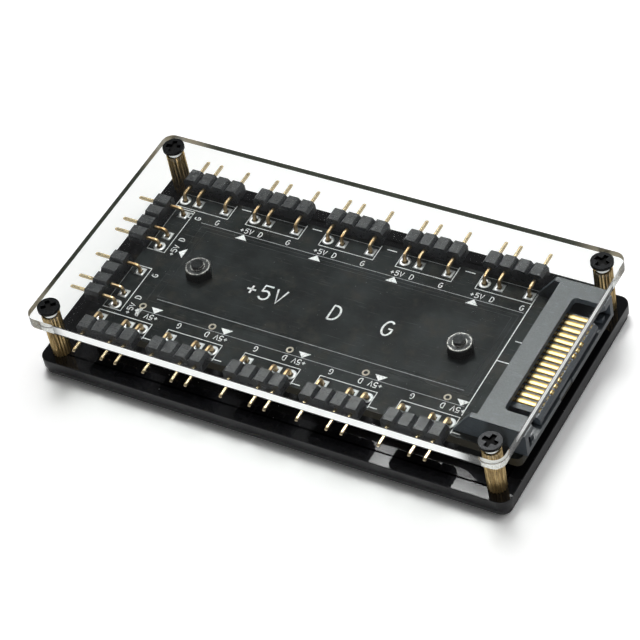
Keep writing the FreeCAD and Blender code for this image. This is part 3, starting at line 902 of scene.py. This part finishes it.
@dataclass(frozen=True)
class Bead(Form):
    """A small cone of solder that hangs round a leg."""

    foot: float
    top: float
    height: float
    sides: int = 16

    def grow(self, tree: GeometryTree) -> Sock:
        """Hang flat-sided cones from the points.

        Args:
            tree: the tree of the piece.

        Returns:
            The geometry.
        """
        sizes = {
            "Vertices": tree.input("Sides", self.sides),
            "Radius Top": tree.input("Top", self.top),
            "Radius Bottom": tree.input("Foot", self.foot),
            "Depth": tree.input("Height", self.height),
        }
        cone = tree.add("GeometryNodeMeshCone", sizes)
        cone = tree.add("GeometryNodeSetShadeSmooth", {"Geometry": cone, "Shade Smooth": False})
        return tree.scatter(cone, (math.pi, 0.0, 0.0))


@dataclass(frozen=True)
class Thread(Form):
    """A thread wound on a stud's end."""

    length: float
    radius: float = 0.95 * MM
    pitch: float = 0.4 * MM
    ridge: float = 0.12 * MM
    sink: float = 0.35
    steps: int = 28
    sides: int = 4

    def grow(self, tree: GeometryTree) -> Sock:
        """Sweep a ridge along a spiral, sunk in the stud by a share of its size.

        Args:
            tree: the tree of the piece.

        Returns:
            The geometry.
        """
        radius = tree.input("Radius", self.radius - self.sink * self.ridge)
        spiral = {
            "Resolution": tree.input("Steps To A Turn", self.steps),
            "Rotations": tree.input("Turns", self.length / self.pitch),
            "Start Radius": radius,
            "End Radius": radius,
            "Height": tree.input("Length", self.length),
        }
        path = tree.add("GeometryNodeCurveSpiral", spiral)
        sizes = {"Resolution": self.sides, "Radius": tree.input("Ridge", self.ridge)}
        section = tree.add("GeometryNodeCurvePrimitiveCircle", sizes, mode="RADIUS")
        sockets = {"Curve": path, "Profile Curve": section, "Fill Caps": True}
        return tree.scatter(tree.add("GeometryNodeCurveToMesh", sockets))


def arc(centre: Point, radii: Pair, start: float, stop: float, steps: int = 8) -> Stroke:
    """Points of an elliptic arc, from one angle in degrees to another."""
    angles = [math.radians(start + (stop - start) * i / steps) for i in range(steps + 1)]
    return [(centre[0] + radii[0] * math.cos(a), centre[1] + radii[1] * math.sin(a)) for a in angles]


class Mark(Enum):
    """Pin marks as rows of points, in a box 1 high that starts at the left foot."""

    PLUS = [[(0.04, 0.48), (0.58, 0.48)], [(0.31, 0.2), (0.31, 0.76)]]
    FIVE = [[(0.58, 1.0), (0.08, 1.0), (0.06, 0.58)] + arc((0.3, 0.32), (0.3, 0.32), 125, -150)]
    VOLT = [[(0.0, 1.0), (0.31, 0.0), (0.62, 1.0)]]
    DATA = [[(0.06, 0.0), (0.06, 1.0)] + arc((0.24, 0.5), (0.36, 0.5), 90, -90) + [(0.06, 0.0)]]
    GROUND = [arc((0.33, 0.5), (0.3, 0.5), 50, 330, 12) + [(0.6, 0.48), (0.36, 0.48)]]


MARK_WIDTH = 0.62
WORDS = {0: (Mark.PLUS, Mark.FIVE, Mark.VOLT), 1: (Mark.DATA,), 3: (Mark.GROUND,)}


def write(marks: Sequence[Mark], size: float, step: float) -> list[Stroke]:
    """Strokes of a word, about the middle of its foot.

    Args:
        marks: its marks from left to right.
        size: their height.
        step: from one mark to the next, as a share of the height.

    Returns:
        Rows of points.
    """
    strokes = []
    for i, mark in enumerate(marks):
        start = i * step - ((len(marks) - 1) * step + MARK_WIDTH) / 2
        strokes.extend([((start + x) * size, y * size) for x, y in stroke] for stroke in mark.value)
    return strokes


class Edge(Enum):
    """Which edge of the board a header stands on, with its turn about the vertical."""

    BACK = 0.0
    FRONT = math.pi
    LEFT = math.pi / 2


@dataclass
class Header:
    """One right-angle header: a four-place block with three bent pins."""

    name: str
    edge: Edge
    places: int = 4
    leg_setback: float = 2.18 * MM
    block_bevel: float = 0.035 * MM
    pin_bevel: float = 0.12 * MM

    def middle(self) -> Vector:
        """Middle of the block's inner face at the board's top.

        Returns:
            The point.
        """
        low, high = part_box(self.name)
        half = (low + high) / 2
        if self.edge is Edge.LEFT:
            return Vector((high.x, half.y, low.z))
        return Vector((half.x, low.y if self.edge is Edge.BACK else high.y, low.z))

    def pitch(self) -> float:
        """Distance from one place to the next."""
        low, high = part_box(self.name)
        return max(high.x - low.x, high.y - low.y) / self.places

    def along(self, place: int) -> float:
        """How far a place lies from the middle of the row."""
        return (place - (self.places - 1) / 2) * self.pitch()

    def spot(self, along: float, away: float, lift: float = 0.0) -> Vector:
        """A point given along the row, outwards from the block's inner face and up from the board."""
        return self.middle() + Matrix.Rotation(self.edge.value, 3, "Z") @ Vector((along, away, lift))

    def leg(self, place: int) -> Vector:
        """Where the pin of a place passes through the board."""
        return self.spot(self.along(place), -self.leg_setback)

    def dress(self) -> None:
        """Give block and pins their finishes and soften their edges."""
        coat(self.name, BLOCK, self.block_bevel)
        left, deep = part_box("header_left_1")[1].x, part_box("header_back_1")[0].y
        coat(f"{self.name}_pins", replace(PIN, left=left / MM, deep=deep / MM), self.pin_bevel)


@dataclass
class Plates:
    """Backing pad, base plate and clear cover."""

    base_bevel: float = 0.12 * MM

    def dress(self) -> None:
        """Finish the three sheets."""
        coat("backing_pad", PAD_FOAM)
        coat("base_plate", BASE_SHEET, self.base_bevel)
        low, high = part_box("clear_cover")
        middle = (low.z + high.z) / 2
        coat("clear_cover", replace(COVER_SHEET, middle=middle / MM, right_edge=high.x / MM))


@dataclass
class Fixings:
    """Pillars, cover screws and what holds the board down."""

    pillars: tuple[str, ...] = ("back_left", "back_right", "front_left", "front_right")
    thread_room: float = 0.144 * MM
    head_bevel: float = 0.14 * MM
    head_rim: float = 0.15
    nut_bevel: float = 0.12 * MM

    def dress(self) -> None:
        """Finish the metal pieces and the spacers."""
        for name in self.pillars:
            coat(f"standoff_{name}", PILLAR)
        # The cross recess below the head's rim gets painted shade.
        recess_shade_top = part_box("cover_screws")[1].z / MM - self.head_rim
        coat("cover_screws", replace(SCREW, name="recessed_screw", recess_shade_top=recess_shade_top), self.head_bevel)
        coat("base_screws", SCREW)
        coat("board_screws", SCREW)
        left, right = self.studs()
        middle = ((left.x + right.x) / 2 / MM, left.y / MM, left.z / MM)
        reach = (right.x - left.x) / 2 / MM
        coat("board_nuts", replace(NUT, middle=middle, reach=reach), self.nut_bevel)
        coat("board_spacers", SPACER)

    def studs(self) -> list[Vector]:
        """Where the board screws leave their nuts.

        Returns:
            One point for each screw, at the top of its nut.
        """
        low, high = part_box("board_screws")
        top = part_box("board_nuts")[1].z
        radius = (high.y - low.y) / 2
        middle = (low.y + high.y) / 2
        return [Vector((x, middle, top)) for x in (low.x + radius, high.x - radius)]

    def build(self) -> None:
        """Wind a thread on the stud ends that stand above the nuts."""
        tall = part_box("board_screws")[1].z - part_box("board_nuts")[1].z
        thread = Thread(tall - self.thread_room)
        thread.lay("stud_threads", [[stud] for stud in self.studs()], GLINT_THREAD, "screw_black")


@dataclass
class Board:
    """The circuit board with its print, pads and drilled rings; rules and copper in millimetres."""

    headers: list[Header]
    bevel: float = 0.05 * MM
    ink_height: float = 0.024 * MM
    ink: Strip = Strip(0.16 * MM, ink_height)
    fine_ink: Strip = Strip(0.09 * MM, ink_height)
    legend_ink: Strip = Strip(0.34 * MM, ink_height)
    copper_edge: Strip = Strip(0.12 * MM, 0.02 * MM)
    letter: float = 1.0 * MM
    letter_step: float = 0.82
    label_away: float = -5.4 * MM
    legend_letter: float = 2.9 * MM
    legend_step: float = 0.86
    legend_middles: Triple = (-11.0 * MM, 1.4 * MM, 10.6 * MM)
    frame_away: float = -3.65 * MM
    frame_foot: float = -0.4 * MM
    frame_ends: Pair = (-4.8 * MM, 4.95 * MM)
    frame_near: dict[Edge, float] = field(
        default_factory=lambda: {Edge.BACK: -0.8 * MM, Edge.FRONT: -0.7 * MM, Edge.LEFT: -0.4 * MM}
    )
    back_dash: Pair = (6.1 * MM, 7.8 * MM)
    front_dash: float = 1.5 * MM
    arrow_foot: float = -6.9 * MM
    arrow_tip: float = -5.8 * MM
    arrow_half: float = 1.05 * MM
    crowded: tuple[str, ...] = ("header_back_1",)
    inlet_rule: Path = ((29.1, 14.4), (29.1, -11.8))
    inlet_ticks: tuple[Path, ...] = (((30.06, 4.42), (31.3, 4.42)), ((29.1, -0.05), (31.25, -0.05)))
    long_rule: float = 28.7
    long_rule_away: float = 10.1
    field_rule: Path = ((27.2, -7.2), (-26.7, -7.2))
    copper: tuple[Path, ...] = (((-26.9, -6.6), (27.4, 8.7)), ((-28.2, -7.9), (28.3, 9.4)))
    round_pad: Washer = Washer(0.98 * MM, 0.44 * MM)
    square_pad: Washer = Washer(1.15 * MM, 0.54 * MM, sides=4)
    solder: Bead = Bead(0.86 * MM, 0.32 * MM, 0.75 * MM)
    test_ring: Washer = Washer(0.62 * MM, 0.34 * MM)
    test_away: float = -6.6 * MM
    lines: list[list[Vector]] = field(default_factory=list)
    thin_lines: list[list[Vector]] = field(default_factory=list)

    def top(self) -> float:
        """Height of the board's upper face."""
        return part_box("circuit_board")[1].z

    def flat(self, path: Path) -> list[Vector]:
        """A path on the board's upper face, from millimetres."""
        return [Vector((x * MM, y * MM, self.top())) for x, y in path]

    def dress(self) -> None:
        """Finish the bare board."""
        coat("circuit_board", MASK, self.bevel)

    def build(self) -> None:
        """Print the board, lay its pads and ring its drilled holes."""
        for header in self.headers:
            self.frame_header(header)
            self.label_header(header)
        self.rule_board()
        self.ink.lay("board_print", self.lines, WHITE_INK, "board_mask")
        self.fine_ink.lay("board_rules", self.thin_lines, FAINT_AND_SHADED_INK, "board_mask")
        self.print_arrows()
        self.print_legend()
        self.raise_copper()
        self.lay_pads()

    def frame_header(self, header: Header) -> None:
        """Draw the open frame on the inner side of a header.

        Args:
            header: the header that it belongs to.
        """
        left, right = self.frame_ends
        near = self.frame_near[header.edge]
        foot = max(near, self.frame_foot)
        corners = ((left, foot), (left, self.frame_away), (right, self.frame_away), (right, foot))
        self.lines.append([header.spot(u, v) for u, v in corners])
        # The closing line is printed in the faint grey ink, partly as painted shade from the block over it.
        self.thin_lines.append([header.spot(u, near) for u in (left, right)])
        dashes = {Edge.BACK: self.back_dash, Edge.FRONT: (left, left - self.front_dash)}
        if header.edge in dashes:
            self.lines.append([header.spot(u, near) for u in dashes[header.edge]])

    def label_header(self, header: Header) -> None:
        """Print the pin marks beside a header's frame.

        Args:
            header: the header that they belong to.
        """
        for place, marks in WORDS.items():
            if header.name in self.crowded and place == 0:
                continue
            start = header.along(place)
            for stroke in write(marks, self.letter, self.letter_step):
                self.lines.append([header.spot(start + x, self.label_away + y) for x, y in stroke])

    def rule_board(self) -> None:
        """Draw the long rules: beside the inlet, and round the middle field."""
        self.lines.extend(self.flat(path) for path in (self.inlet_rule, *self.inlet_ticks))
        for y in (self.long_rule_away, -self.long_rule_away):
            self.thin_lines.append(self.flat(((-self.long_rule, y), (self.long_rule, y))))
        self.thin_lines.append(self.flat(self.field_rule))

    def print_arrows(self) -> None:
        """Print a filled arrow at each supply pin."""
        points: list[Vector] = []
        lift = 0.5 * self.ink_height
        for header in self.headers:
            if header.name in self.crowded:
                continue
            tip = header.along(0)
            for side in (-self.arrow_half, self.arrow_half):
                points.append(header.spot(tip + side, self.arrow_foot, lift))
            points.append(header.spot(tip, self.arrow_tip, lift))
        faces = [(i, i + 1, i + 2) for i in range(0, len(points), 3)]
        mesh = bpy.data.meshes.new("print_arrows")
        mesh.from_pydata(points, [], faces)
        mesh.materials.append(WHITE_INK.material())
        piece = stand("print_arrows", mesh)
        solid = piece.modifiers.new("ink", "SOLIDIFY")
        solid.thickness = self.ink_height
        adopt(piece)

    def print_legend(self) -> None:
        """Print the pin order large across the middle of the board."""
        foot = -self.legend_letter / 2
        paths = []
        for marks, middle in zip(WORDS.values(), self.legend_middles):
            for stroke in write(marks, self.legend_letter, self.legend_step):
                paths.append([Vector((middle + x, foot + y, self.top())) for x, y in stroke])
        self.legend_ink.lay("print_legend", paths, WHITE_INK, "board_mask")

    def raise_copper(self) -> None:
        """Show the edges of the copper fields under the mask."""
        paths = []
        for (left, front), (right, back) in self.copper:
            corners = ((right, back), (left, back), (left, front), (right, front), (right, back))
            paths.append(self.flat(corners))
        self.copper_edge.lay("copper_edges", paths, RIDGE, "board_mask")

    def lay_pads(self) -> None:
        """Lay a pad at each leg on both faces, solder the lower ones and ring the test holes."""
        first, *rest = WORDS
        under = Vector((0, 0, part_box("circuit_board")[0].z - self.top()))
        supply = [[header.leg(first)] for header in self.headers]
        others = [[header.leg(place)] for header in self.headers for place in rest]
        below = [[path[0] + under] for path in supply + others]
        self.round_pad.lay("round_pads", supply + below[: len(supply)], TIN, "pin_gold")
        self.square_pad.lay("square_pads", others + below[len(supply) :], TIN, "pin_gold")
        self.solder.lay("solder_below", below, TIN, "pin_gold")
        front = [header for header in self.headers if header.edge is Edge.FRONT]
        rings = [[header.spot(header.along(1), self.test_away)] for header in front]
        self.test_ring.lay("test_rings", rings, RING, "pin_gold")


@dataclass
class Inlet:
    """The fifteen-way power inlet and its contacts."""

    bevel: float = 0.08 * MM
    contact_bevel: float = 0.04 * MM
    # Where the painted roof shadow lies on the contacts, from their back ends.
    roof_shadow: float = 2.2 * MM

    def dress(self) -> None:
        """Finish the housing and its contacts."""
        coat("sata_housing", INLET, self.bevel)
        low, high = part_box("sata_contacts")
        middle, roof_shadow = (low.y + high.y) / 2, low.x + self.roof_shadow
        row = replace(CONTACT, middle=middle / MM, roof_shadow=roof_shadow / MM)
        coat("sata_contacts", row, self.contact_bevel)


def bearing(azimuth: float, elevation: float) -> Vector:
    """The way out from the hub at two angles in degrees, from the front towards the inlet."""
    turn, rise = math.radians(azimuth), math.radians(elevation)
    return Vector((math.sin(turn) * math.cos(rise), -math.cos(turn) * math.cos(rise), math.sin(rise)))


@dataclass
class Studio:
    """Floor, lamps, backdrop light and camera."""

    aim: Triple = (-0.715 * MM, -1.309 * MM, 6.0 * MM)
    camera_way: Pair = (37.568, 45.345)
    camera_roll: float = -12.42
    distance: float = 410.9 * MM
    lens: float = 150.26
    near_limit: float = 10.0 * MM
    floor_half: float = 1.5
    room_light: float = 1.5
    room_way: Triple = (-0.1, 0.75, 0.65)
    room_spread: Pair = (0.5, 0.95)
    sky_gloss: float = 0.06
    horizon: Pair = (0.25, 0.55)
    key_power: float = 4.4
    key_way: Pair = (212.0, 61.5)
    key_roll: float = -32.0
    key_reach: float = 1.1
    key_size: float = 0.35
    fill_power: float = 0.4
    fill_place: Triple = (0.62, 0.2, 0.5)
    fill_size: float = 0.5
    front_power: float = 2.9
    front_place: Triple = (0.3, -0.75, 0.055)
    front_size: float = 0.1

    def build(self) -> None:
        """Set up the whole stage."""
        self.lay_floor()
        self.light_room()
        key_place = Vector(self.aim) + bearing(*self.key_way) * self.key_reach
        self.add_lamp("key", key_place, self.key_size, self.key_power, self.key_roll)
        self.add_lamp("fill", Vector(self.fill_place), self.fill_size, self.fill_power)
        self.add_lamp("front", Vector(self.front_place), self.front_size, self.front_power)
        self.add_camera()
        bpy.context.scene.view_settings.view_transform = "Standard"

    def lay_floor(self) -> None:
        """A wide pale floor that keeps the hub's shadow."""
        size = self.floor_half
        mesh = bpy.data.meshes.new("floor")
        corners = [(-size, -size, 0), (size, -size, 0), (size, size, 0), (-size, size, 0)]
        mesh.from_pydata(corners, [], [(0, 1, 2, 3)])
        mesh.materials.append(PAPER.material())
        floor = stand("floor", mesh)

    def light_room(self) -> None:
        """Soft light from above and behind, little from the front, shown as white."""
        world = bpy.data.worlds.new("studio")
        bpy.context.scene.world = world
        world.use_nodes = True
        graph = Graph(world.node_tree)
        way = graph.add("ShaderNodeTexCoord", output="Generated")
        shown = 1.0 - graph.axis(way, "Z").ramp(*self.horizon) * (1.0 - self.sky_gloss)
        bright = graph.rays("Camera", "Glossy", "Transmission")
        sockets = {0: way, 1: self.room_way}
        facing = graph.add("ShaderNodeVectorMath", sockets, "Value", operation="DOT_PRODUCT")
        dome = facing.ramp(*self.room_spread) * self.room_light
        strength = dome * (1.0 - bright) + bright * shown
        sky = graph.add("ShaderNodeBackground", {"Color": EVEN, "Strength": strength})
        graph.add("ShaderNodeOutputWorld", {"Surface": sky})

    def face(self, thing: bpy.types.Object, place: Vector, roll: float) -> None:
        """Place a lamp or the camera so that it faces the hub.

        Args:
            thing: the lamp or the camera.
            place: where it stands.
            roll: its turn about its own axis, in degrees.
        """
        thing.location = place
        thing.rotation_mode = "QUATERNION"
        level = (Vector(self.aim) - place).to_track_quat("-Z", "Y")
        thing.rotation_quaternion = level @ Quaternion((0, 0, 1), math.radians(roll))

    def add_lamp(self, name: str, place: Vector, size: float, power: float, roll: float = 0.0) -> None:
        """One square softbox that faces the hub.

        Args:
            name: its name.
            place: where it hangs.
            size: length of its sides.
            power: its power in watts.
            roll: its turn about its own axis, in degrees.
        """
        lamp = bpy.data.lights.new(name, "AREA")
        lamp.size = size
        lamp.energy = power
        self.face(stand(name, lamp), place, roll)

    def add_camera(self) -> None:
        """The camera at the photograph's angle."""
        lens = bpy.data.cameras.new("camera")
        lens.lens = self.lens
        lens.clip_start = self.near_limit
        camera = stand("camera", lens)
        self.face(camera, Vector(self.aim) + bearing(*self.camera_way) * self.distance, self.camera_roll)
        bpy.context.scene.camera = camera


def all_headers() -> list[Header]:
    """Every header of the hub, found by its node's name.

    Returns:
        The headers in the frame's order.
    """
    headers = []
    for edge in Edge:
        start = f"header_{edge.name.lower()}_"
        names = [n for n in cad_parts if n.startswith(start) and not n.endswith("_pins")]
        headers.extend(Header(name, edge) for name in sorted(names))
    return headers


def main() -> None:
    """Dress every node, add what the solids leave out, and set the stage."""
    logging.basicConfig(level=logging.INFO, format="%(name)s: %(message)s")
    headers = all_headers()
    Plates().dress()
    fixings = Fixings()
    fixings.dress()
    fixings.build()
    for header in headers:
        header.dress()
    board = Board(headers)
    board.dress()
    board.build()
    Inlet().dress()
    Studio().build()


if __name__ == "__main__":
    main()
